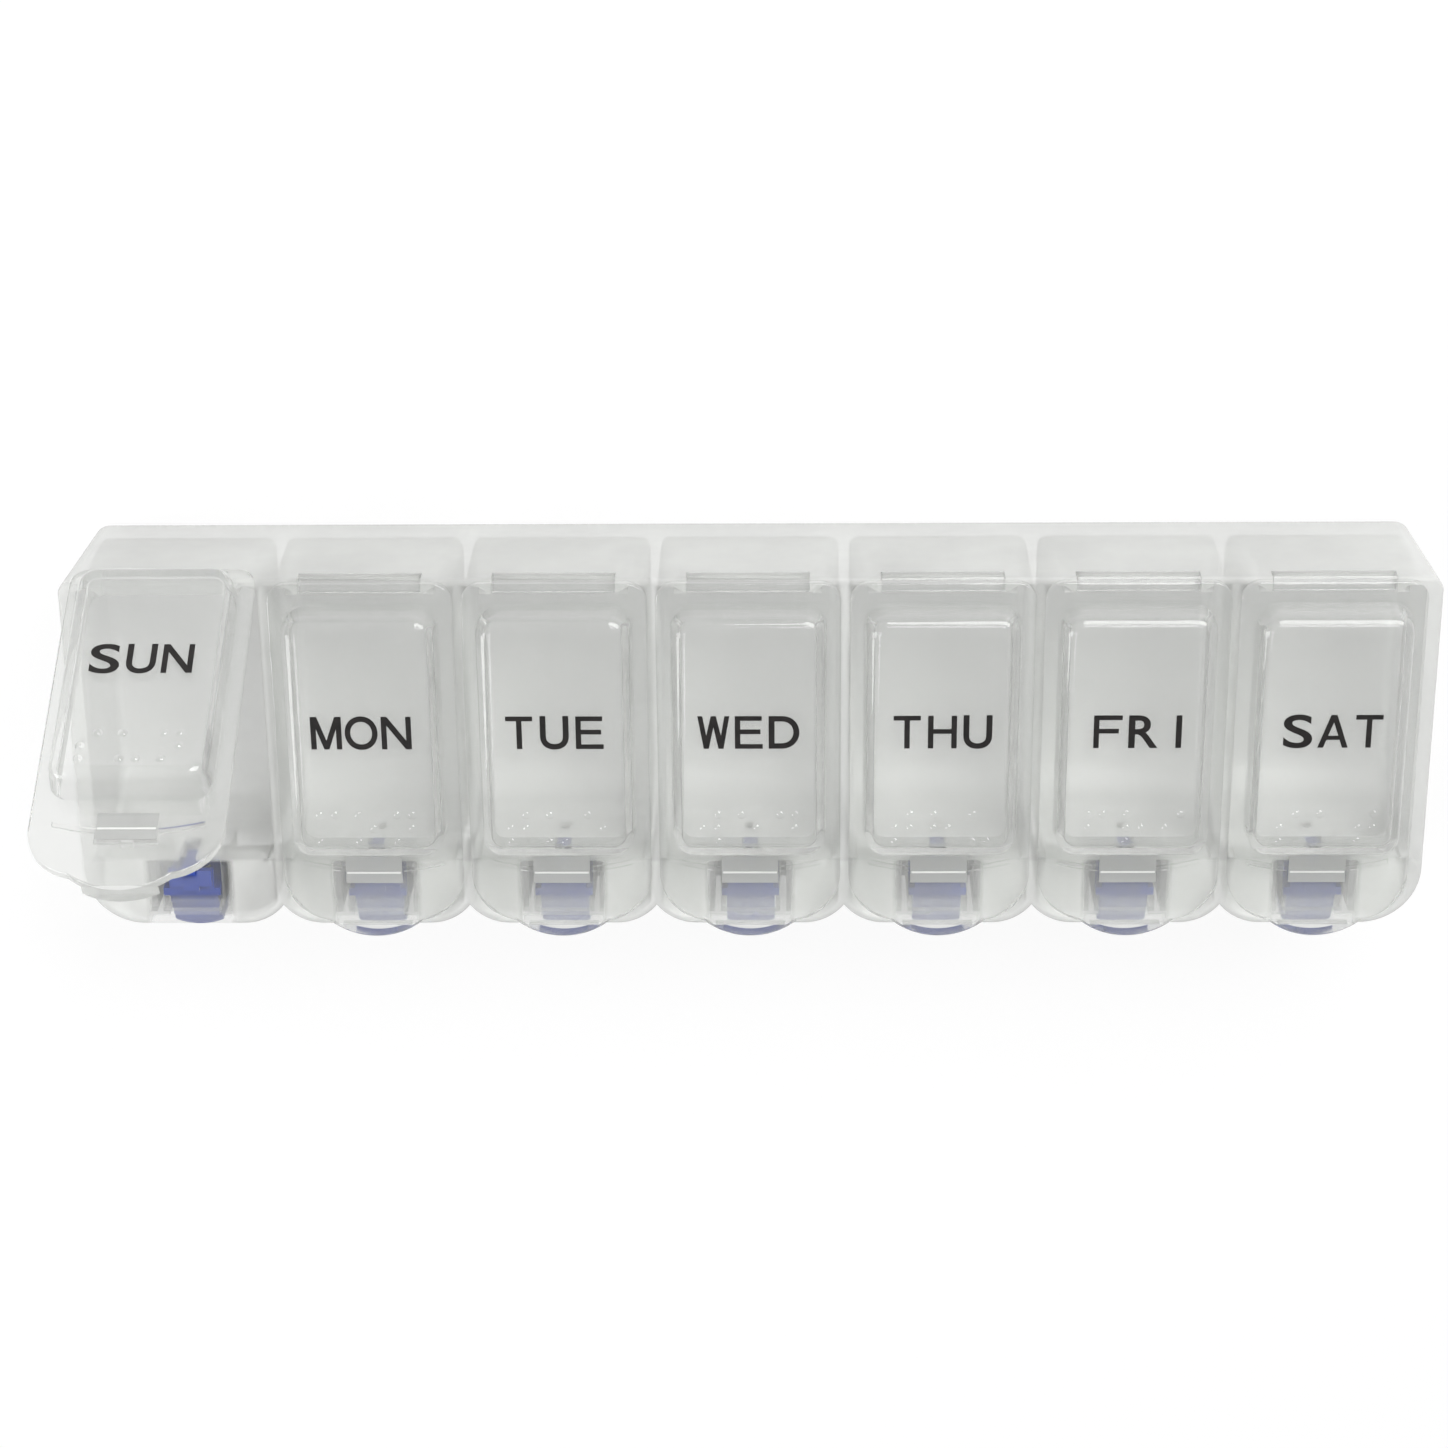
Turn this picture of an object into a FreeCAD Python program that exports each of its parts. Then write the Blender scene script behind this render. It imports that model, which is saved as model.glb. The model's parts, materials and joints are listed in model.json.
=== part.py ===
"""Travel pill organizer: a tray of seven compartments, seven lids and seven push buttons.

Millimetres, +Z up, +X along the row of days, +Y towards the hinges.
The origin is at the middle of the tray's underside.
"""
import FreeCAD, Part
import math
import os

Vector = FreeCAD.Vector

# The days, from the left end to the right end, each with its raised dots.
# A cell's dots are numbered 1 to 3 down its left column and 4 to 6 down its right.
days = ["sun", "mon", "tue", "wed", "thu", "fri", "sat"]
dots_of_letter = {
    "a": (1,), "d": (1, 4, 5), "e": (1, 5), "f": (1, 2, 4), "h": (1, 2, 5), "i": (2, 4),
    "m": (1, 3, 4), "n": (1, 3, 4, 5), "o": (1, 3, 5), "r": (1, 2, 3, 5), "s": (2, 3, 4),
    "t": (2, 3, 4, 5), "u": (1, 3, 6), "w": (2, 4, 5, 6),
}
open_day = "sun"
open_angle = 62.0

# How far joined pieces reach into each other, and how far a cut runs past a face
overlap = 0.2
beyond = 1.0

# Tray
pitch = 30.0
end_margin = 1.75
base_depth = 59.4
rim_height = 25.6
wall = 1.3
divider = 1.8
floor_thickness = 1.4
rear_corner_radius = 2.5
end_corner_radius = 9.5
scallop_radius = 8.0
scallop_depth = 3.2
end_draft = 1.4
rear_draft = 0.2
front_draft = 0.4
foot_round = 1.0
rim_round = 0.4
scoop_radius = 11.0
rear_floor_radius = 3.0
compartment_corner_radius = 1.6

# Button housing along the tray's front
housing_depth = 10.3
front_wall = 1.3
deck_drop = 0.6
deck_thickness = 1.2
guide_thickness = 1.0
guide_depth = 12.6
notch_length = 2.6
notch_clearance = 0.25
notch_past_wall = 0.5

# Hinges
hinge_inset = 1.0
hinge_drop = 1.3
barrel_radius = 1.47
barrel_length = 18.7
barrel_clearance = 0.2
pin_radius = 0.6
pin_length = 1.4
pin_clearance = 0.06
neck_front_share = 0.75
neck_rear_share = 0.5
ear_length = 1.9
ear_wall = 0.8

# Lids
lid_gap = 1.3
lid_thickness = 1.3
lid_seat_gap = 0.1
lid_rear_inset = 0.3
lid_front_inset = 1.0
lid_rear_radius = 3.0
lid_front_radius = 8.5
lid_edge_round = 0.35
nose_radius = 11.5
nose_reach = 1.6
lip_clearance = 0.15
dome_side_margin = 2.05
dome_rear_margin = 3.2
dome_front_margin = 13.2
dome_height = 5.5
dome_corner_radius = 3.6
dome_slope = 0.7
dome_round = 2.0
dome_wall = 1.2
bead_half_width = 11.2
bead_sagitta = 1.5
bead_width = 0.8
bead_depth = 0.4
pad_width = 9.4
pad_length = 2.1
tongue_width = 1.9
tongue_thickness = 0.5

# Raised dots, whose rows run across the lid
dot_radius = 0.75
dot_height = 0.4
dot_spacing = 2.35
cell_spacing = 6.05
dots_from_dome_front = 2.9

# Buttons
button_travel = 1.6
slide_clearance = 0.15
button_width = 7.7
thumb_height = 11.6
thumb_reach = 3.3
thumb_face_radius = 10.0
thumb_round = 0.7
thumb_steps = 5
step_drop = 0.8
first_step = 1.0
thumb_ribs = 5
rib_height = 0.7
rib_rise = 0.35
ribs_from_top = 1.4
shoulder_from_front = 5.2
shoulder_thickness = 1.3
shoulder_step = 0.75
stop_height = 5.0
stop_thickness = 1.2
plate_thickness = 1.2
plate_inset = 0.2
plate_step = 0.5
raised_inset = 0.5
raised_front_gap = 0.5
tab_half_width = 1.3
tab_length = 0.8
hook_gap = 0.8
hook_thickness = 1.0
hook_width = 2.2
hook_height = 7.2

# Return springs
spring_radius = 1.95
wire_radius = 0.2
spring_turns = 4.5
points_per_turn = 8
spring_rise = 3.3
seat_radius = 1.2
button_seat_length = 1.9
wall_seat_length = 1.1
spring_end_gap = 0.05

# Places that follow from the sizes above
tray_half_length = len(days) * pitch / 2 + end_margin
rear_y = base_depth / 2
front_y = -base_depth / 2
rear_inner_y = rear_y - wall
wall_front_y = front_y + housing_depth
wall_back_y = wall_front_y + front_wall
compartment_half_width = (pitch - divider) / 2
deck_top = rim_height - deck_drop
deck_bottom = deck_top - deck_thickness
hinge_y = rear_y - hinge_inset
hinge_z = rim_height - hinge_drop
barrel_half = barrel_length / 2
lid_bottom = rim_height + lid_seat_gap
lid_top = lid_bottom + lid_thickness
lid_half_width = (pitch - lid_gap) / 2
lid_rear_y = rear_y - lid_rear_inset
lid_front_y = front_y + lid_front_inset
button_top = deck_bottom - slide_clearance
thumb_bottom = button_top - thumb_height
thumb_half = button_width / 2
shoulder_half = thumb_half + shoulder_step
guide_half = shoulder_half + slide_clearance
shoulder_rear_y = front_y + shoulder_from_front
plate_half = thumb_half - plate_inset
thumb_top = button_top - plate_step
hook_rear_y = wall_front_y - hook_gap
hook_front_y = hook_rear_y - hook_thickness
hook_top = deck_top + slide_clearance
hook_half = hook_width / 2
notch_half = hook_half + notch_clearance
plate_rear_y = wall_front_y - button_travel - slide_clearance
spring_z = thumb_bottom + spring_rise


def line(start, end):
    """A straight edge."""
    return Part.LineSegment(Vector(*start), Vector(*end)).toShape()


def arc(centre, radius, start_angle, end_angle):
    """An arc in a level plane, with its angles in degrees from +X."""
    points = []
    for angle in (start_angle, (start_angle + end_angle) / 2, end_angle):
        turn = math.radians(angle)
        points.append(Vector(centre[0] + radius * math.cos(turn), centre[1] + radius * math.sin(turn), centre[2]))
    return Part.Arc(*points).toShape()


def box(x_range, y_range, z_range):
    """A block between two values on each axis."""
    size = [high - low for low, high in (x_range, y_range, z_range)]
    return Part.makeBox(*size, Vector(x_range[0], y_range[0], z_range[0]))


def rod_x(radius, x_range, y, z):
    """A round bar along X."""
    return Part.makeCylinder(radius, x_range[1] - x_range[0], Vector(x_range[0], y, z), Vector(1, 0, 0))


def rod_y(radius, y_range, x, z):
    """A round bar along Y."""
    return Part.makeCylinder(radius, y_range[1] - y_range[0], Vector(x, y_range[0], z), Vector(0, 1, 0))


def join(shapes):
    """One solid made of several that meet."""
    solids = [solid for shape in shapes for solid in shape.Solids]
    return solids[0].multiFuse(solids[1:]).removeSplitter().Solids[0]


def cell_x(index):
    """The middle of a compartment along the row."""
    return (index - (len(days) - 1) / 2) * pitch


def tray_outline(z, drafted, offset):
    """The tray's outline at a height: straight back and ends, and one round bay for each day in front.

    drafted is 0 at the rim and 1 at the underside, and offset moves the whole outline inwards.
    """
    half = tray_half_length - end_draft * drafted - offset
    rear = rear_y - rear_draft * drafted - offset
    front = front_y + front_draft * drafted
    rear_radius = rear_corner_radius - offset
    end_radius = end_corner_radius - offset
    bay_radius = scallop_radius - offset
    bay_reach = math.sqrt(scallop_radius ** 2 - (scallop_radius - scallop_depth) ** 2)
    bay_angle = math.degrees(math.asin(bay_reach / bay_radius))
    end_centre_x = half - end_radius
    end_centre_y = front + end_corner_radius
    bay_centre_y = front + scallop_radius
    low = front + offset
    edges = [
        line((-half + rear_radius, rear, z), (half - rear_radius, rear, z)),
        arc((half - rear_radius, rear - rear_radius, z), rear_radius, 90, 0),
        line((half, rear - rear_radius, z), (half, end_centre_y, z)),
        arc((end_centre_x, end_centre_y, z), end_radius, 0, -90),
    ]
    right_x = end_centre_x
    for index in range(len(days) - 1, 0, -1):
        cusp_x = cell_x(index) - pitch / 2
        edges.append(line((right_x, low, z), (cusp_x + bay_reach, low, z)))
        edges.append(arc((cusp_x + bay_reach, bay_centre_y, z), bay_radius, -90, -90 - bay_angle))
        edges.append(arc((cusp_x - bay_reach, bay_centre_y, z), bay_radius, -90 + bay_angle, -90))
        right_x = cusp_x - bay_reach
    edges.append(line((right_x, low, z), (-end_centre_x, low, z)))
    edges.append(arc((-end_centre_x, end_centre_y, z), end_radius, -90, -180))
    edges.append(line((-half, end_centre_y, z), (-half, rear - rear_radius, z)))
    edges.append(arc((-half + rear_radius, rear - rear_radius, z), rear_radius, 180, 90))
    return Part.Wire(edges)


def rounded_levels():
    """Heights and insets of the tray's outline, with its foot and rim rounded in short steps."""
    levels = []
    for angle in (0, 30, 60, 90):
        turn = math.radians(angle)
        levels.append((foot_round * (1 - math.cos(turn)), foot_round * (1 - math.sin(turn))))
    for angle in (90, 45, 0):
        turn = math.radians(angle)
        levels.append((rim_height - rim_round * (1 - math.cos(turn)), rim_round * (1 - math.sin(turn))))
    return levels


def tray_block():
    """The tray's outside as one solid."""
    wires = [tray_outline(z, 1 - z / rim_height, inset) for z, inset in rounded_levels()]
    return Part.makeLoft(wires, True, True)


def tray_inside():
    """The space inside the tray's outer wall, open below and above."""
    low = tray_outline(-beyond, 1.0, wall)
    high = tray_outline(rim_height + beyond, 0.0, wall)
    return Part.makeLoft([low, high], True, True)


def compartment():
    """The hollow of one compartment, centred on X = 0, with a floor that curves up to the front."""
    low = floor_thickness
    high = rim_height + beyond
    front = wall_back_y
    half = math.sqrt(0.5)
    rear_mid = rear_floor_radius * (1 - half)
    scoop_mid = scoop_radius * (1 - half)
    at = -compartment_half_width
    rear_bend = Part.Arc(
        Vector(at, rear_inner_y - rear_floor_radius, low),
        Vector(at, rear_inner_y - rear_mid, low + rear_mid),
        Vector(at, rear_inner_y, low + rear_floor_radius)).toShape()
    front_bend = Part.Arc(
        Vector(at, front, low + scoop_radius),
        Vector(at, front + scoop_mid, low + scoop_mid),
        Vector(at, front + scoop_radius, low)).toShape()
    outline = Part.Wire([
        line((at, front + scoop_radius, low), (at, rear_inner_y - rear_floor_radius, low)),
        rear_bend,
        line((at, rear_inner_y, low + rear_floor_radius), (at, rear_inner_y, high)),
        line((at, rear_inner_y, high), (at, front, high)),
        line((at, front, high), (at, front, low + scoop_radius)),
        front_bend,
    ])
    hollow = Part.Face(outline).extrude(Vector(2 * compartment_half_width, 0, 0))
    rounded = []
    for edge in hollow.Edges:
        middle = edge.CenterOfMass
        beside = abs(abs(middle.x) - compartment_half_width) < 0.01
        if beside and middle.z < rim_height:
            rounded.append(edge)
    return hollow.makeFillet(compartment_corner_radius, rounded)


def hinge_round_cut():
    """What comes off the rim's back edge so that a lid's back edge can roll round it."""
    along = (-tray_half_length - beyond, tray_half_length + beyond)
    block = box(along, (hinge_y, rear_y + beyond), (hinge_z, rim_height + beyond))
    return block.cut(rod_x(hinge_drop, along, hinge_y, hinge_z))


def tray_cuts(x):
    """Everything that comes out of one day's part of the tray, first what the outer wall limits."""
    inside_x = (x - compartment_half_width, x + compartment_half_width)
    ahead = front_y - beyond
    chamber = box(inside_x, (ahead, wall_front_y), (-beyond, deck_bottom))
    recess = box(inside_x, (ahead, wall_back_y), (deck_top, rim_height + beyond))
    hollow = compartment().translated(Vector(x, 0, 0))
    notch = box((x - notch_half, x + notch_half), (wall_front_y - notch_length, wall_back_y + notch_past_wall),
                (hook_top - hook_height - slide_clearance, rim_height))
    half = barrel_half + barrel_clearance
    radius = barrel_radius + barrel_clearance
    barrel_room = rod_x(radius, (x - half, x + half), hinge_y, hinge_z)
    neck_room = box((x - half, x + half), (hinge_y - radius, rear_y + beyond), (hinge_z, rim_height + beyond))
    return [chamber, recess], [hollow, notch, barrel_room, neck_room]


def window(x):
    """The hole in the outer wall that a button comes through."""
    half = thumb_half + slide_clearance
    top = thumb_top - step_drop + slide_clearance
    return box((x - half, x + half), (front_y - beyond, front_y + wall + front_draft + overlap),
               (thumb_bottom - slide_clearance, top))


def hinge_ears(x):
    """The two ears that hold a lid's pins, with their holes."""
    ears = []
    for side in (-1, 1):
        near = x + side * (barrel_half + barrel_clearance)
        far = near + side * ear_length
        across = (min(near, far), max(near, far))
        front = hinge_y - pin_radius - ear_wall
        ear = box(across, (front, rear_y - wall / 2), (hinge_z - pin_radius - ear_wall, hinge_z + hinge_drop))
        ears.append(ear)
    return ears


def pin_holes(x):
    """One bore through both ears."""
    reach = barrel_half + pin_length + 2 * barrel_clearance
    return rod_x(pin_radius + pin_clearance, (x - reach, x + reach), hinge_y, hinge_z)


def button_guides(x):
    """The walls beside a button and the seat of its spring."""
    pieces = []
    for side in (-1, 1):
        near = x + side * guide_half
        far = near + side * guide_thickness
        across = (min(near, far), max(near, far))
        pieces.append(box(across, (front_y + wall, wall_front_y + overlap),
                          (deck_bottom - guide_depth, deck_bottom + overlap)))
    pieces.append(rod_y(seat_radius, (wall_front_y - wall_seat_length, wall_front_y + overlap), x, spring_z))
    return pieces


def tray():
    """The tray: compartments behind, a closed deck over the buttons in front, ears for the hinges."""
    inside = tray_inside()
    cuts = [hinge_round_cut()]
    windows = []
    added = []
    holes = []
    for index in range(len(days)):
        x = cell_x(index)
        within_wall, others = tray_cuts(x)
        cuts += [cut.common(inside) for cut in within_wall] + others
        windows.append(window(x))
        added += hinge_ears(x) + button_guides(x)
        holes.append(pin_holes(x))
    shell = tray_block().cut(Part.makeCompound(cuts))
    shell = shell.fuse(added)
    shell = shell.cut(Part.makeCompound(windows + holes))
    return shell.removeSplitter()


def tray_cell(whole, index):
    """One day's cell of the tray, which ends at the middle of the dividers beside it."""
    left = cell_x(index) - pitch / 2 if index > 0 else -tray_half_length - beyond
    right = cell_x(index) + pitch / 2 if index < len(days) - 1 else tray_half_length + beyond
    return whole.common(box((left, right), (front_y - beyond, rear_y + beyond), (-beyond, rim_height + beyond)))


def rounded_plate(half_width, rear, front, rear_radius, front_radius, z):
    """A wire with square sides and four rounded corners."""
    return Part.Wire([
        line((-half_width + rear_radius, rear, z), (half_width - rear_radius, rear, z)),
        arc((half_width - rear_radius, rear - rear_radius, z), rear_radius, 90, 0),
        line((half_width, rear - rear_radius, z), (half_width, front + front_radius, z)),
        arc((half_width - front_radius, front + front_radius, z), front_radius, 0, -90),
        line((half_width - front_radius, front, z), (-half_width + front_radius, front, z)),
        arc((-half_width + front_radius, front + front_radius, z), front_radius, -90, -180),
        line((-half_width, front + front_radius, z), (-half_width, rear - rear_radius, z)),
        arc((-half_width + rear_radius, rear - rear_radius, z), rear_radius, 180, 90),
    ])


def dome(inset, top, bottom):
    """The raised middle of a lid, or the hollow inside it where inset is the wall."""
    half = lid_half_width - dome_side_margin - inset
    rear = lid_rear_y - dome_rear_margin - inset
    front = lid_front_y + dome_front_margin + inset
    radius = dome_corner_radius - inset
    slope = dome_slope
    low = rounded_plate(half, rear, front, radius, radius, bottom)
    high = rounded_plate(half - slope, rear - slope, front + slope, radius - slope, radius - slope, top)
    body = Part.makeLoft([low, high], True, True)
    edges = [edge for edge in body.Edges if abs(edge.CenterOfMass.z - top) < 0.001]
    return body.makeFillet(dome_round - inset / 2, edges)


def nose(z_range, top_round):
    """The rounded tongue of the lid that covers the button."""
    centre_y = front_y - nose_reach + nose_radius
    disc = Part.makeCylinder(nose_radius, z_range[1] - z_range[0], Vector(0, centre_y, z_range[0]))
    if top_round > 0:
        rim = [edge for edge in disc.Edges if abs(edge.CenterOfMass.z - z_range[1]) < 0.001]
        disc = disc.makeFillet(top_round, rim)
    into_plate = lid_front_y + 2 * lid_edge_round
    return disc.common(box((-nose_radius, nose_radius), (centre_y - nose_radius, into_plate), z_range))


def lid_plate():
    """The flat of a lid with its nose, its top edge rounded."""
    outline = rounded_plate(lid_half_width, lid_rear_y, lid_front_y, lid_rear_radius, lid_front_radius, lid_bottom)
    plate = Part.Face(outline).extrude(Vector(0, 0, lid_thickness))
    edges = [edge for edge in plate.Edges if abs(edge.CenterOfMass.z - lid_top) < 0.001]
    return join([plate.makeFillet(lid_edge_round, edges), nose((lid_bottom, lid_top), lid_edge_round)])


def finger_lip():
    """The crescent under the nose that stands in front of the tray's wall."""
    lip = nose((button_top + 2 * slide_clearance, lid_bottom), 0)
    ahead = front_y - nose_reach - beyond
    return lip.common(box((-nose_radius, nose_radius), (ahead, front_y - lip_clearance), (0, lid_top)))


def lid_knuckle():
    """The hinge barrel with a pin at each end, joined to the lid's plate."""
    barrel = rod_x(barrel_radius, (-barrel_half, barrel_half), hinge_y, hinge_z)
    neck = box((-barrel_half, barrel_half),
               (hinge_y - barrel_radius * neck_front_share, hinge_y + barrel_radius * neck_rear_share),
               (hinge_z, lid_bottom + overlap))
    reach = barrel_half + pin_length
    return [barrel, neck, rod_x(pin_radius, (-reach, reach), hinge_y, hinge_z)]


def lid_underside():
    """The curved bead that meets the deck, and the pad and tongue that the button's hook holds."""
    low = lid_bottom - bead_depth
    high = lid_bottom + overlap
    radius = (bead_half_width ** 2 + bead_sagitta ** 2) / (2 * bead_sagitta)
    bead_front = hook_rear_y - bead_width / 2
    centre = Vector(0, bead_front + radius, low)
    ring = Part.makeCylinder(radius, high - low, centre).cut(Part.makeCylinder(radius - bead_width, high - low, centre))
    bead = ring.common(box((-bead_half_width, bead_half_width),
                           (bead_front - beyond, bead_front + bead_sagitta + bead_width + beyond), (low, high)))
    pad = box((-pad_width / 2, pad_width / 2), (hook_rear_y - pad_length, hook_rear_y), (low, high))
    tongue_rear = hook_front_y - slide_clearance
    tongue = box((-tongue_width / 2, tongue_width / 2), (tongue_rear - tongue_thickness, tongue_rear),
                 (button_top + 2 * slide_clearance, high))
    return [bead, pad, tongue]


def raised_dots(day):
    """The day's letters as raised dots near the front of the dome."""
    dots = []
    sphere_radius = (dot_radius ** 2 + dot_height ** 2) / (2 * dot_height)
    z = lid_top + dome_height + dot_height - sphere_radius
    low_y = lid_front_y + dome_front_margin + dots_from_dome_front + dot_radius
    for place, letter in enumerate(day):
        for dot in dots_of_letter[letter]:
            column = (dot - 1) // 3
            row = (dot - 1) % 3
            x = (place - 1) * cell_spacing + (column - 0.5) * dot_spacing
            y = low_y + (2 - row) * dot_spacing
            ball = Part.makeSphere(sphere_radius, Vector(x, y, z))
            above = box((x - dot_spacing / 2, x + dot_spacing / 2), (y - dot_spacing / 2, y + dot_spacing / 2),
                        (lid_top + dome_height - overlap, z + sphere_radius))
            dots.append(ball.common(above))
    return dots


def lid(day):
    """One closed lid, centred on X = 0."""
    top = lid_top + dome_height
    solid = join([lid_plate(), dome(0.0, top, lid_bottom + overlap)] + lid_knuckle() + [finger_lip()] + lid_underside())
    solid = solid.cut(dome(dome_wall, top - dome_wall, lid_bottom - bead_depth - overlap))
    return join([solid] + raised_dots(day))


def thumb_plan(z, reach):
    """A button's outline from above: square behind, a round face in front."""
    tip = front_y - reach
    drop = thumb_face_radius - math.sqrt(thumb_face_radius ** 2 - thumb_half ** 2)
    corner = tip + drop
    face = Part.Arc(Vector(-thumb_half, corner, z), Vector(0, tip, z), Vector(thumb_half, corner, z)).toShape()
    return Part.Wire([
        line((thumb_half, corner, z), (thumb_half, shoulder_rear_y, z)),
        line((thumb_half, shoulder_rear_y, z), (-thumb_half, shoulder_rear_y, z)),
        line((-thumb_half, shoulder_rear_y, z), (-thumb_half, corner, z)),
        face,
    ])


def thumb_block():
    """The part of a button that is pressed: its top goes down in round steps and its face has ribs."""
    first_reach = shoulder_rear_y - first_step - front_y
    blocks = []
    for step in range(thumb_steps + 1):
        reach = -first_reach + (thumb_reach + first_reach) * step / thumb_steps
        plan = Part.Face(thumb_plan(thumb_bottom, reach))
        blocks.append(plan.extrude(Vector(0, 0, thumb_top - step * step_drop - thumb_bottom)))
    longest = blocks.pop()
    edges = [edge for edge in longest.Edges if edge.Curve.TypeId == "Part::GeomCircle"]
    longest = longest.makeFillet(thumb_round, edges)
    ribs = []
    face_top = thumb_top - thumb_steps * step_drop
    gap = (face_top - thumb_bottom - ribs_from_top) / thumb_ribs
    for index in range(thumb_ribs):
        z = thumb_bottom + ribs_from_top / 2 + (index + 0.5) * gap - rib_height / 2
        rib = Part.Face(thumb_plan(z, thumb_reach + rib_rise)).extrude(Vector(0, 0, rib_height))
        ahead = front_y - thumb_reach - rib_rise - beyond
        ribs.append(rib.common(box((-thumb_half, thumb_half), (ahead, front_y - beyond), (z, z + rib_height))))
    return join([longest] + blocks + ribs)


def button():
    """One push button at rest, centred on X = 0."""
    plate_bottom = button_top - plate_thickness
    raised_half = thumb_half - raised_inset
    raised_front = shoulder_rear_y + raised_front_gap
    stop_front = front_y + wall + front_draft + slide_clearance
    pieces = [
        thumb_block(),
        box((-shoulder_half, shoulder_half), (shoulder_rear_y - shoulder_thickness, shoulder_rear_y),
            (thumb_bottom, thumb_top)),
        box((-plate_half, plate_half), (shoulder_rear_y - overlap, plate_rear_y), (plate_bottom, thumb_top)),
        box((-raised_half, raised_half), (raised_front, plate_rear_y), (plate_bottom, button_top)),
        box((-tab_half_width, tab_half_width), (raised_front - tab_length, plate_rear_y), (plate_bottom, button_top)),
        box((-hook_half, hook_half), (hook_front_y, hook_rear_y), (hook_top - hook_height, hook_top)),
        box((-hook_half, hook_half), (plate_rear_y - overlap, hook_rear_y - overlap), (plate_bottom, button_top)),
        rod_y(seat_radius, (shoulder_rear_y - overlap, shoulder_rear_y + button_seat_length), 0, spring_z),
    ]
    for side in (-1, 1):
        near = side * (thumb_half - overlap)
        far = side * shoulder_half
        pieces.append(box((min(near, far), max(near, far)), (stop_front, stop_front + stop_thickness),
                          (thumb_bottom, thumb_bottom + stop_height)))
    return join(pieces)


def spring_centreline():
    """The spring's wire path along Y as short arcs, and the points that they go through."""
    start = shoulder_rear_y + spring_end_gap + wire_radius
    length = wall_front_y - spring_end_gap - wire_radius - start
    radius = spring_radius - wire_radius
    steps = round(spring_turns * points_per_turn)
    points = []
    for step in range(steps + 1):
        turn = 2 * math.pi * spring_turns * step / steps
        points.append(Vector(radius * math.cos(turn), start + length * step / steps,
                             spring_z + radius * math.sin(turn)))
    edges = [Part.Arc(points[i], points[i + 1], points[i + 2]).toShape() for i in range(0, steps, 2)]
    return Part.Wire(edges), points


def button_spring():
    """The coil spring behind a button, one unbroken wire."""
    path, points = spring_centreline()
    heading = path.Edges[0].tangentAt(path.Edges[0].FirstParameter)
    section = Part.Wire([Part.makeCircle(wire_radius, points[0], heading)])
    return path.makePipeShell([section], True, False)


def spring_gap():
    """The least gap between neighbouring turns, measured on points of the wire's path."""
    points = spring_centreline()[1]
    gaps = []
    for first in range(len(points)):
        for second in range(first + points_per_turn // 2 + 1, len(points)):
            gaps.append(points[first].distanceToPoint(points[second]) - 2 * wire_radius)
    return min(gaps)


def save(shape, name):
    """Write one sub-part."""
    shape.exportStep("parts/" + name + ".step")


def main():
    os.makedirs("parts", exist_ok=True)
    whole_tray = tray()
    resting_button = button()
    spring = button_spring()
    for index, day in enumerate(days):
        move = Vector(cell_x(index), 0, 0)
        save(tray_cell(whole_tray, index), "tray_" + day)
        shape = lid(day)
        if day == open_day:
            shape = shape.rotate(Vector(0, hinge_y, hinge_z), Vector(-1, 0, 0), open_angle)
        save(shape.translated(move), "lid_" + day)
        save(resting_button.translated(move), "button_" + day)
        save(spring.translated(move), "button_spring_" + day)
    print("least gap between spring turns", round(spring_gap(), 3))


main()
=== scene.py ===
"""Looks of the travel pill organizer: materials, printed days, small marks, light and camera."""

import json
import math

import bmesh
import bpy
from mathutils import Matrix, Vector

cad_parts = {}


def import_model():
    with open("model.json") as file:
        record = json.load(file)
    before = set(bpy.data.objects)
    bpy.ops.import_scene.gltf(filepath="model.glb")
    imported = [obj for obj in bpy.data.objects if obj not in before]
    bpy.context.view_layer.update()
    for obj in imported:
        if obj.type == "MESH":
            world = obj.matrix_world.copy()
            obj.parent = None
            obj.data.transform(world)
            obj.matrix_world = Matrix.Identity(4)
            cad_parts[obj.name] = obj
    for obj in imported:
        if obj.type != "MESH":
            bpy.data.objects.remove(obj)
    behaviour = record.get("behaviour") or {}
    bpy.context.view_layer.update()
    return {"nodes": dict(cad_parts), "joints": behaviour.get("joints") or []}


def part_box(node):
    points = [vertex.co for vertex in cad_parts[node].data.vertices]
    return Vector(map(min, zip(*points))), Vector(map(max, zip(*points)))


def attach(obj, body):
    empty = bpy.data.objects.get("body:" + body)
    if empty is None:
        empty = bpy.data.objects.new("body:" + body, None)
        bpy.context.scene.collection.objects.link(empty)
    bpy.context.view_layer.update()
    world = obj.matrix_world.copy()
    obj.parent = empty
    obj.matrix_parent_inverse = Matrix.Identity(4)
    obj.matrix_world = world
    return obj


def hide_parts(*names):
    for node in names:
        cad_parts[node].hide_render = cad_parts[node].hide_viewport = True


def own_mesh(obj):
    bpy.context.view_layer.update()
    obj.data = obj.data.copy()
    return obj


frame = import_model()

MM = 0.001
DAYS = ["sun", "mon", "tue", "wed", "thu", "fri", "sat"]
OPEN_DAY = "sun"
PITCH = 30.0
joints = {joint["name"]: joint for joint in frame["joints"]}

# Camera, from a fit to the photograph's corners. Pixels, millimetres and degrees.
PHOTO_WIDTH = 1448.0
FOCAL_PIXELS = 3439.0
SENSOR_WIDTH = 36.0
CAMERA_PLACE = (6.8, 222.2, 518.1)
CAMERA_TURNS = (23.77, -1.14, 0.11)
NEAREST_SEEN = 0.01

# Lamps, aimed at the origin: place and size in metres, power in watts.
LAMPS = {"soft_box": ((0.35, 0.65, 0.6), (0.7, 0.5), 9.0),
         "fill_box": ((-0.6, -0.15, 0.5), (0.3, 0.5), 3.0)}
WORLD_STRENGTH = 0.5
FLOOR_SIZE = 6.0
FLOOR_HEIGHT = -0.0001
FLOOR_GREY = 0.86
FLOOR_GLOW_SHARE = 0.88

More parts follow.
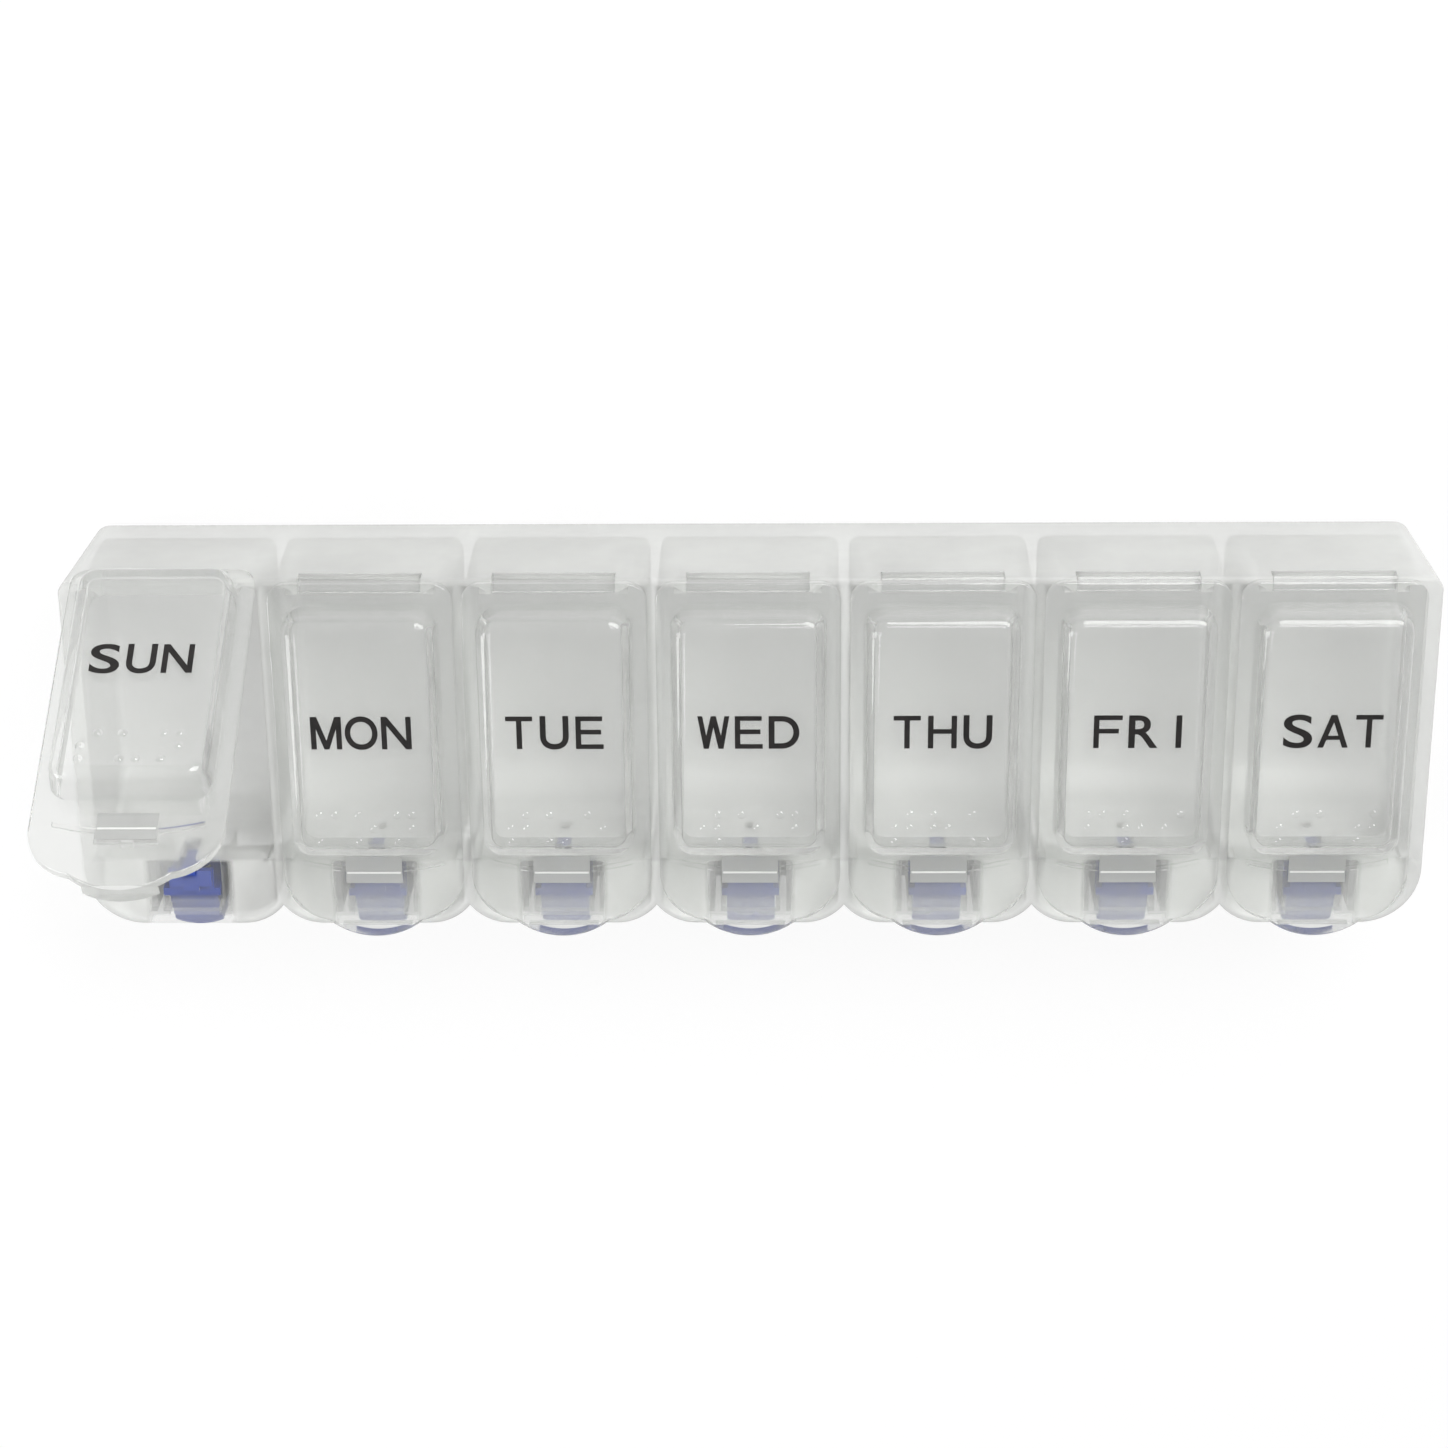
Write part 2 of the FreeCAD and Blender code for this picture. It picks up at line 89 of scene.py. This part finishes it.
# Printed days, in millimetres. The round letters' weight is in the font's own units.
LETTER_HEIGHT = 5.5
LETTER_STEP = 5.45
LETTER_THICKNESS = 0.03
LETTER_WIDTHS = {"S": 4.5, "U": 4.45, "N": 4.65, "M": 4.8, "O": 5.1, "T": 4.2, "E": 4.3,
                 "W": 4.95, "D": 4.75, "H": 4.45, "F": 4.4, "R": 4.55, "I": 0.9, "A": 4.7}
STROKE = 0.84
BAR_SHARE = 0.93
BAR_MIDDLE = 0.52
ROUND_LETTERS = "DORSU"
ROUND_WEIGHT = 0.014
ROUND_STEPS = 10
TALLER_LETTERS = "OSU"
TALLER_SHARE = 1.03
DOT_RISE = 0.4
DOME_FRONT = -15.5
LETTER_MIDDLE_FROM_DOME_FRONT = 22.4

# The tray as one skin, in metres and degrees.
WELD = 2e-5
LETTER_WELD = 1e-7
SMOOTH_ANGLE = 30.0

# How well the tray hides what is under it. The deck is clearer over each button. Metres.
TRAY_ALPHA = 0.60
DECK_CLEAR_Y = (-0.0255, -0.0188)
DECK_ALPHAS = (0.22, 0.07, 0.50)
DECK_CLEAR_HALF_WIDTH = (0.0062, 0.0074)
DECK_UNDERSIDE_Z = (0.0218, 0.0228)
BAND_BLEND = 0.04
FRONT_BLEND = 0.0005

# The textured layer in each lid's flange over the button's hook, and a pale strip along its rear edge that is
# a painted highlight. Millimetres.
LID_UNDERSIDE_Z = 25.7
TEXTURE_HALF_WIDTH = 4.5
TEXTURE_Y = (-22.0, -17.3)
TEXTURE_RISE = (0.5, 0.7)
PAINTED_HIGHLIGHT_HALF_WIDTH = 4.3
PAINTED_HIGHLIGHT_Y = (-20.27, -19.97)
PAINTED_HIGHLIGHT_RISE = (0.75, 0.85)

# The gate mark on each compartment's front wall. Millimetres.
GATE_PLACE = (-18.0, 13.6)
GATE_RADIUS = 0.95
GATE_TIP_SHARE = 0.7
GATE_HEIGHT = 0.2
GATE_SIDES = 24

# Linear colours. Two tones are the dark and the light end of a noise.
FROSTED_TONES = ((0.58, 0.585, 0.57, 1), (0.64, 0.645, 0.63, 1))
CLEAR_COLOUR = (0.785, 0.79, 0.78, 1)
CLEAR_SHADOW = (0.85, 0.855, 0.85, 1)
BLUE_TONES = ((0.012, 0.036, 0.24, 1), (0.019, 0.052, 0.31, 1))
TEXTURE_COLOUR = (0.36, 0.363, 0.357, 1)
# The pale strip's colour is a painted highlight, not a colour of the plastic.
PAINTED_HIGHLIGHT_COLOUR = (0.70, 0.70, 0.69, 1)
GATE_COLOUR = (0.36, 0.36, 0.35, 1)
STEEL_COLOUR = (0.55, 0.55, 0.56, 1)
INK_TONES = ((0.010, 0.009, 0.009, 1), (0.018, 0.016, 0.015, 1))
WHITE = (1, 1, 1, 1)
NOISE_MIDDLE = (0.3, 0.7)


def new_material(name):
    """A material with an empty node tree and its output."""
    material = bpy.data.materials.new(name)
    material.use_nodes = True
    nodes = material.node_tree.nodes
    nodes.clear()
    return material, nodes, material.node_tree.links, nodes.new("ShaderNodeOutputMaterial")


def principled(nodes, **values):
    """A main shader with these constant inputs, an underscore standing for a space."""
    shader = nodes.new("ShaderNodeBsdfPrincipled")
    for name, value in values.items():
        shader.inputs[name.replace("_", " ")].default_value = value
    return shader


def noise(nodes, links, scale, detail=2.0):
    """Noise in the object's own space, so it keeps to the moulding."""
    coordinates = nodes.new("ShaderNodeTexCoord")
    texture = nodes.new("ShaderNodeTexNoise")
    texture.inputs["Scale"].default_value = scale
    texture.inputs["Detail"].default_value = detail
    links.new(coordinates.outputs["Object"], texture.inputs["Vector"])
    return texture.outputs["Fac"]


def map_range(nodes, links, source, old, new=(0.0, 1.0)):
    """The source's old range spread over the new one, and held at its ends."""
    spread = nodes.new("ShaderNodeMapRange")
    for side, end in enumerate(("Min", "Max")):
        spread.inputs["From " + end].default_value = old[side]
        spread.inputs["To " + end].default_value = new[side]
    links.new(source, spread.inputs["Value"])
    return spread.outputs["Result"]


def calculate(nodes, links, operation, first, second):
    """The result of an operation on two values, the second of which may be a plain number."""
    node = nodes.new("ShaderNodeMath")
    node.operation = operation
    links.new(first, node.inputs[0])
    if isinstance(second, float):
        node.inputs[1].default_value = second
    else:
        links.new(second, node.inputs[1])
    return node.outputs["Value"]


def two_tones(nodes, links, source, tones):
    """A colour between two tones that follows a noise."""
    ramp = nodes.new("ShaderNodeValToRGB")
    for element, place, tone in zip(ramp.color_ramp.elements, NOISE_MIDDLE, tones):
        element.position = place
        element.color = tone
    links.new(source, ramp.inputs["Fac"])
    return ramp.outputs["Color"]


def bump(nodes, links, source, strength, distance):
    """A small bump from a texture."""
    node = nodes.new("ShaderNodeBump")
    node.inputs["Strength"].default_value = strength
    node.inputs["Distance"].default_value = distance
    links.new(source, node.inputs["Height"])
    return node.outputs["Normal"]


def mixed(nodes, links, share, first, second):
    """The first surface, and the second by a share."""
    mix = nodes.new("ShaderNodeMixShader")
    links.new(share, mix.inputs["Fac"])
    links.new(first, mix.inputs[1])
    links.new(second, mix.inputs[2])
    return mix.outputs["Shader"]


def band(nodes, links, source, edges, values):
    """One value below the first edge, one between the edges and one above the second."""
    low, high = edges
    span = high - low
    blend = BAND_BLEND / 3
    stops = [(1 / 3 - blend, values[0]), (1 / 3 + blend, values[1]),
             (2 / 3 - blend, values[1]), (2 / 3 + blend, values[2])]
    ramp = nodes.new("ShaderNodeValToRGB")
    elements = ramp.color_ramp.elements
    while len(elements) < len(stops):
        elements.new(1.0)
    for element, (place, value) in zip(elements, stops):
        element.position = place
        element.color = (value, value, value, 1)
    links.new(map_range(nodes, links, source, (low - span, high + span)), ramp.inputs["Fac"])
    return ramp.outputs["Color"]


def tray_alpha(nodes, links):
    """The tray's cover: even behind, denser in front, and thin in the deck over each button."""
    coordinates = nodes.new("ShaderNodeTexCoord")
    axes = nodes.new("ShaderNodeSeparateXYZ")
    links.new(coordinates.outputs["Object"], axes.inputs["Vector"])
    x, y, z = (axes.outputs[name] for name in "XYZ")
    over_button = band(nodes, links, y, DECK_CLEAR_Y, DECK_ALPHAS)
    from_middle = calculate(nodes, links, "PINGPONG", x, PITCH * MM / 2)
    beside = map_range(nodes, links, from_middle, DECK_CLEAR_HALF_WIDTH)
    below = map_range(nodes, links, z, DECK_UNDERSIDE_Z, (1.0, 0.0))
    away = calculate(nodes, links, "MAXIMUM", beside, below)
    deck_rear = DECK_CLEAR_Y[1]
    elsewhere = map_range(nodes, links, y, (deck_rear, deck_rear + FRONT_BLEND), (TRAY_ALPHA, DECK_ALPHAS[2]))
    mix = nodes.new("ShaderNodeMix")
    links.new(away, mix.inputs["Factor"])
    links.new(over_button, mix.inputs["A"])
    links.new(elsewhere, mix.inputs["B"])
    return mix.outputs["Result"]


def frosted_plastic():
    """Milky translucent polypropylene: clouded, with a satin skin."""
    material, nodes, links, output = new_material("frosted_plastic")
    shader = principled(nodes, IOR=1.49)
    cloud = noise(nodes, links, 60.0, 4.0)
    grain = noise(nodes, links, 2500.0)
    uneven = map_range(nodes, links, cloud, NOISE_MIDDLE, (0.94, 1.06))
    alpha = calculate(nodes, links, "MULTIPLY", tray_alpha(nodes, links), uneven)
    links.new(two_tones(nodes, links, cloud, FROSTED_TONES), shader.inputs["Base Color"])
    links.new(map_range(nodes, links, cloud, NOISE_MIDDLE, (0.30, 0.42)), shader.inputs["Roughness"])
    links.new(alpha, shader.inputs["Alpha"])
    links.new(bump(nodes, links, grain, 0.08, 0.00005), shader.inputs["Normal"])
    links.new(shader.outputs["BSDF"], output.inputs["Surface"])
    return material


def clear_plastic():
    """Clear moulded plastic with a faint haze and a gloss coat, that lets lamps shine through."""
    material, nodes, links, output = new_material("clear_plastic")
    shader = principled(nodes, Base_Color=CLEAR_COLOUR, Transmission_Weight=0.89, IOR=1.08,
                        Coat_Weight=0.8, Coat_Roughness=0.03, Coat_IOR=1.5)
    ripple = noise(nodes, links, 180.0)
    links.new(map_range(nodes, links, ripple, NOISE_MIDDLE, (0.10, 0.20)), shader.inputs["Roughness"])
    links.new(bump(nodes, links, ripple, 0.04, 0.0002), shader.inputs["Normal"])
    clear = nodes.new("ShaderNodeBsdfTransparent")
    clear.inputs["Color"].default_value = CLEAR_SHADOW
    path = nodes.new("ShaderNodeLightPath")
    surface = mixed(nodes, links, path.outputs["Is Shadow Ray"],
                    shader.outputs["BSDF"], clear.outputs["BSDF"])
    links.new(surface, output.inputs["Surface"])
    return material


def blue_plastic():
    """Saturated blue moulding with a fine sheen."""
    material, nodes, links, output = new_material("blue_plastic")
    shader = principled(nodes, IOR=1.5)
    cloud = noise(nodes, links, 220.0, 3.0)
    links.new(two_tones(nodes, links, cloud, BLUE_TONES), shader.inputs["Base Color"])
    links.new(map_range(nodes, links, cloud, NOISE_MIDDLE, (0.28, 0.40)), shader.inputs["Roughness"])
    links.new(shader.outputs["BSDF"], output.inputs["Surface"])
    return material


def grained(name, scale, roughness, **values):
    """A one-coloured material whose gloss varies with a fine grain."""
    material, nodes, links, output = new_material(name)
    shader = principled(nodes, **values)
    grain = noise(nodes, links, scale)
    links.new(map_range(nodes, links, grain, NOISE_MIDDLE, roughness), shader.inputs["Roughness"])
    links.new(shader.outputs["BSDF"], output.inputs["Surface"])
    return material


def print_ink():
    """Near-black pad-printed ink with a faint unevenness."""
    material, nodes, links, output = new_material("print_ink")
    shader = principled(nodes, Roughness=0.6, IOR=1.3)
    cloud = noise(nodes, links, 700.0, 3.0)
    links.new(two_tones(nodes, links, cloud, INK_TONES), shader.inputs["Base Color"])
    links.new(shader.outputs["BSDF"], output.inputs["Surface"])
    return material


def dress(node, material):
    """Gives a carried node its material in every slot."""
    for slot in frame["nodes"][node].material_slots:
        slot.material = material


def show(name, mesh, material, body):
    """Puts a mesh into the scene as a piece that rides on a body."""
    mesh.materials.clear()
    mesh.materials.append(material)
    piece = bpy.data.objects.new(name, mesh)
    bpy.context.collection.objects.link(piece)
    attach(piece, body)
    return piece


def to_mesh(joined, name):
    """A mesh from an editable one, which is freed."""
    mesh = bpy.data.meshes.new(name)
    joined.to_mesh(mesh)
    joined.free()
    return mesh


def lid_place(day):
    """The move from a closed lid in the middle of the row to that day's lid as it stands."""
    joint = joints["hinge_" + day]
    pivot = Vector(joint["pos_m"])
    across = Matrix.Translation((pivot.x, 0, 0))
    if day != OPEN_DAY:
        return across
    opened = math.radians(-joint["range_deg"][0])
    swing = Matrix.Rotation(opened, 4, Vector(joint["axis"]))
    return Matrix.Translation(pivot) @ swing @ Matrix.Translation(-pivot) @ across


def tray_moulding(material):
    """The tray in one skin: its cells' meshes joined, without the faces where they were cut apart."""
    joined = bmesh.new()
    for day in DAYS:
        joined.from_mesh(frame["nodes"]["tray_" + day].data)
    bmesh.ops.remove_doubles(joined, verts=joined.verts, dist=WELD)
    hidden = []
    for face in joined.faces:
        cut = round(face.verts[0].co.x / (PITCH * MM) - 0.5) + 0.5
        on_cut = all(abs(vertex.co.x - cut * PITCH * MM) < WELD for vertex in face.verts)
        if on_cut and abs(cut) < len(DAYS) / 2:
            hidden.append(face)
    bmesh.ops.delete(joined, geom=hidden, context="FACES")
    bmesh.ops.remove_doubles(joined, verts=joined.verts, dist=WELD)
    mesh = to_mesh(joined, "tray_moulding")
    mesh.shade_smooth()
    mesh.set_sharp_from_angle(angle=math.radians(SMOOTH_ANGLE))
    piece = show("tray_moulding", mesh, material, "tray")
    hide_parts(*["tray_" + day for day in DAYS])


def spring(day, material):
    """The day's return spring, as a copy of its node that rides on the tray."""
    node = "button_spring_" + day
    piece = show("coil_" + day, frame["nodes"][node].data.copy(), material, "tray")
    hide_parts(node)
    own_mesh(piece)


def lid_layer(name, day, material, half_width, y_range, rise_range):
    """A thin flat layer inside the lid's flange, given in millimetres above its underside."""
    low = Vector((-half_width, y_range[0], LID_UNDERSIDE_Z + rise_range[0])) * MM
    high = Vector((half_width, y_range[1], LID_UNDERSIDE_Z + rise_range[1])) * MM
    joined = bmesh.new()
    place = Matrix.Translation((low + high) / 2) @ Matrix.Diagonal((*(high - low), 1))
    bmesh.ops.create_cube(joined, size=1.0, matrix=place)
    mesh = to_mesh(joined, name + day)
    mesh.transform(lid_place(day))
    show(name + day, mesh, material, "lid_" + day)


def gate_marks(material):
    """The small round mark that the moulding's gate leaves on each compartment's front wall."""
    joined = bmesh.new()
    facing_front = Matrix.Rotation(math.radians(90), 4, "X")
    for index in range(len(DAYS)):
        middle = Vector(((index - 3) * PITCH, *GATE_PLACE)) * MM
        bmesh.ops.create_cone(joined, cap_ends=True, segments=GATE_SIDES, radius1=GATE_RADIUS * MM,
                              radius2=GATE_RADIUS * MM * GATE_TIP_SHARE, depth=GATE_HEIGHT * MM,
                              matrix=Matrix.Translation(middle) @ facing_front)
    show("gate_marks", to_mesh(joined, "gate_marks"), material, "tray")


def straight_loops(letter):
    """The outlines of a letter of straight strokes, one unit high and wide. A second loop is a hole."""
    side = STROKE / LETTER_WIDTHS[letter]
    bar = STROKE * BAR_SHARE / LETTER_HEIGHT
    low, high = BAR_MIDDLE - bar / 2, BAR_MIDDLE + bar / 2
    left, right = 0.5 - side / 2, 0.5 + side / 2
    outlines = {
        "I": [[(0, 0), (0, 1), (1, 1), (1, 0)]],
        "T": [[(0, 1), (1, 1), (1, 1 - bar), (right, 1 - bar), (right, 0), (left, 0),
               (left, 1 - bar), (0, 1 - bar)]],
        "E": [[(0, 0), (0, 1), (0.97, 1), (0.97, 1 - bar), (side, 1 - bar), (side, high),
               (0.92, high), (0.92, low), (side, low), (side, bar), (1, bar), (1, 0)]],
        "F": [[(0, 0), (0, 1), (1, 1), (1, 1 - bar), (side, 1 - bar), (side, high),
               (0.88, high), (0.88, low), (side, low), (side, 0)]],
        "H": [[(0, 0), (0, 1), (side, 1), (side, high), (1 - side, high), (1 - side, 1),
               (1, 1), (1, 0), (1 - side, 0), (1 - side, low), (side, low), (side, 0)]],
        "N": [[(0, 0), (0, 1), (1.1 * side, 1), (1 - side, 0.27), (1 - side, 1), (1, 1),
               (1, 0), (1 - 1.1 * side, 0), (side, 0.73), (side, 0)]],
        "M": [[(0, 0), (0, 1), (1.2 * side, 1), (0.5, 0.27), (1 - 1.2 * side, 1), (1, 1),
               (1, 0), (1 - side, 0), (1 - side, 0.62), (0.58, 0), (0.42, 0), (side, 0.62), (side, 0)]],
        "A": [[(0, 0), (0.4, 1), (0.6, 1), (1, 0), (0.81, 0), (0.714, 0.24), (0.286, 0.24), (0.19, 0)],
              [(0.336, 0.365), (0.664, 0.365), (0.5, 0.775)]],
        "W": [[(0, 1), (0.155, 1), (0.27, 0.40), (0.42, 1), (0.58, 1), (0.73, 0.40), (0.845, 1),
               (1, 1), (0.81, 0), (0.65, 0), (0.5, 0.66), (0.35, 0), (0.19, 0)]],
    }
    return outlines[letter]


def letter_curve(letter):
    """A letter's filled outline as a curve."""
    if letter in ROUND_LETTERS:
        curve = bpy.data.curves.new("letter_" + letter, "FONT")
        curve.body = letter
        curve.offset = ROUND_WEIGHT
        curve.resolution_u = ROUND_STEPS
        return curve
    curve = bpy.data.curves.new("letter_" + letter, "CURVE")
    curve.dimensions = "2D"
    curve.fill_mode = "BOTH"
    for points in straight_loops(letter):
        spline = curve.splines.new("POLY")
        spline.points.add(len(points) - 1)
        for point, (x, y) in zip(spline.points, points):
            point.co = (x, y, 0, 1)
        spline.use_cyclic_u = True
    return curve


def letter_mesh(letter):
    """One printed letter as a mesh, scaled to its width and height, standing on Z = 0."""
    curve = letter_curve(letter)
    curve.extrude = 0.01
    shape = bpy.data.objects.new("letter_shape", curve)
    bpy.context.collection.objects.link(shape)
    bpy.context.view_layer.update()
    evaluated = shape.evaluated_get(bpy.context.evaluated_depsgraph_get())
    mesh = bpy.data.meshes.new_from_object(evaluated)
    bpy.data.objects.remove(shape)
    low = [min(vertex.co[axis] for vertex in mesh.vertices) for axis in range(3)]
    high = [max(vertex.co[axis] for vertex in mesh.vertices) for axis in range(3)]
    height = LETTER_HEIGHT * (TALLER_SHARE if letter in TALLER_LETTERS else 1.0)
    sizes = (LETTER_WIDTHS[letter], height, LETTER_THICKNESS)
    middles = (0.5, 0.5, 0.0)
    for vertex in mesh.vertices:
        for axis in range(3):
            share = (vertex.co[axis] - low[axis]) / (high[axis] - low[axis])
            vertex.co[axis] = (share - middles[axis]) * sizes[axis] * MM
    return mesh


def print_day(day, material):
    """The day's three letters, printed on its lid's dome, with the word's ends evenly placed."""
    word = day.upper()
    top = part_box("lid_mon")[1][2] - DOT_RISE * MM
    middle_y = (DOME_FRONT + LETTER_MIDDLE_FROM_DOME_FRONT) * MM
    shift = (LETTER_WIDTHS[word[0]] - LETTER_WIDTHS[word[2]]) / 4
    joined = bmesh.new()
    for place, letter in enumerate(word):
        mesh = letter_mesh(letter)
        centre = (place - 1) * LETTER_STEP + shift
        mesh.transform(Matrix.Translation((centre * MM, middle_y, top)))
        joined.from_mesh(mesh)
        bpy.data.meshes.remove(mesh)
    bmesh.ops.remove_doubles(joined, verts=joined.verts, dist=LETTER_WELD)
    mesh = to_mesh(joined, "day_print_" + day)
    mesh.transform(lid_place(day))
    show("day_print_" + day, mesh, material, "lid_" + day)


def camera():
    """The photograph's camera."""
    turns = [Matrix.Rotation(math.radians(angle), 3, axis) for angle, axis in zip(CAMERA_TURNS, "XYZ")]
    to_camera = turns[2] @ turns[1] @ turns[0]
    data = bpy.data.cameras.new("camera")
    data.sensor_width = SENSOR_WIDTH
    data.lens = FOCAL_PIXELS / PHOTO_WIDTH * SENSOR_WIDTH
    data.clip_start = NEAREST_SEEN
    seen_from = bpy.data.objects.new("camera", data)
    place = Matrix.Translation(Vector(CAMERA_PLACE) * MM)
    seen_from.matrix_world = place @ to_camera.transposed().to_4x4()
    bpy.context.collection.objects.link(seen_from)
    bpy.context.scene.camera = seen_from


def lamps():
    """Soft rectangular lamps that point at the origin."""
    for name, (place, size, power) in LAMPS.items():
        data = bpy.data.lights.new(name, "AREA")
        data.shape = "RECTANGLE"
        data.size, data.size_y = size
        data.energy = power
        light = bpy.data.objects.new(name, data)
        light.location = place
        light.rotation_euler = (-Vector(place)).to_track_quat("-Z", "Y").to_euler()
        bpy.context.collection.objects.link(light)


def world():
    """Even pale surroundings, white where the camera looks past the floor."""
    surroundings = bpy.data.worlds.new("surroundings")
    bpy.context.scene.world = surroundings
    surroundings.use_nodes = True
    nodes = surroundings.node_tree.nodes
    links = surroundings.node_tree.links
    light = nodes["Background"]
    light.inputs["Color"].default_value = WHITE
    light.inputs["Strength"].default_value = WORLD_STRENGTH
    backdrop = nodes.new("ShaderNodeBackground")
    backdrop.inputs["Color"].default_value = WHITE
    backdrop.inputs["Strength"].default_value = 1.0
    path = nodes.new("ShaderNodeLightPath")
    surface = mixed(nodes, links, path.outputs["Is Camera Ray"],
                    light.outputs["Background"], backdrop.outputs["Background"])
    links.new(surface, nodes["World Output"].inputs["Surface"])


def floor():
    """A plain pale floor, close to white for the camera and through the plastic, with a soft shadow."""
    bpy.ops.mesh.primitive_plane_add(size=FLOOR_SIZE, location=(0, 0, FLOOR_HEIGHT))
    plane = bpy.context.object
    plane.name = "floor"
    material, nodes, links, output = new_material("floor")
    paint = nodes.new("ShaderNodeBsdfDiffuse")
    paint.inputs["Color"].default_value = (FLOOR_GREY, FLOOR_GREY, FLOOR_GREY, 1)
    glow = nodes.new("ShaderNodeEmission")
    glow.inputs["Color"].default_value = WHITE
    glow.inputs["Strength"].default_value = 1.0
    path = nodes.new("ShaderNodeLightPath")
    seen = calculate(nodes, links, "MAXIMUM",
                     path.outputs["Is Camera Ray"], path.outputs["Is Transmission Ray"])
    share = calculate(nodes, links, "MULTIPLY", seen, FLOOR_GLOW_SHARE)
    surface = mixed(nodes, links, share, paint.outputs["BSDF"], glow.outputs["Emission"])
    links.new(surface, output.inputs["Surface"])
    plane.data.materials.append(material)


def main():
    """Dresses the part and sets it in its light."""
    tray = frosted_plastic()
    clear = clear_plastic()
    blue = blue_plastic()
    steel = grained("spring_steel", 900.0, (0.22, 0.38), Base_Color=STEEL_COLOUR, Metallic=1.0)
    ink = print_ink()
    texture = grained("hood_plastic", 1500.0, (0.35, 0.5), Base_Color=TEXTURE_COLOUR, Alpha=0.7)
    # The pale strip in each lid's flange is a painted highlight.
    painted_highlight = grained("painted_highlight_strip", 1500.0, (0.35, 0.5), Base_Color=PAINTED_HIGHLIGHT_COLOUR, Alpha=0.9)
    gate = grained("gate_plastic", 1500.0, (0.5, 0.7), Base_Color=GATE_COLOUR)
    tray_moulding(tray)
    gate_marks(gate)
    for day in DAYS:
        dress("lid_" + day, clear)
        dress("button_" + day, blue)
        spring(day, steel)
        print_day(day, ink)
        lid_layer("lid_texture_", day, texture, TEXTURE_HALF_WIDTH, TEXTURE_Y, TEXTURE_RISE)
        # This layer is the lid's pale strip: a painted highlight.
        lid_layer("lid_painted_highlight_", day, painted_highlight, PAINTED_HIGHLIGHT_HALF_WIDTH, PAINTED_HIGHLIGHT_Y, PAINTED_HIGHLIGHT_RISE)
    camera()
    world()
    lamps()
    floor()
    bpy.context.scene.view_settings.view_transform = "Standard"


main()
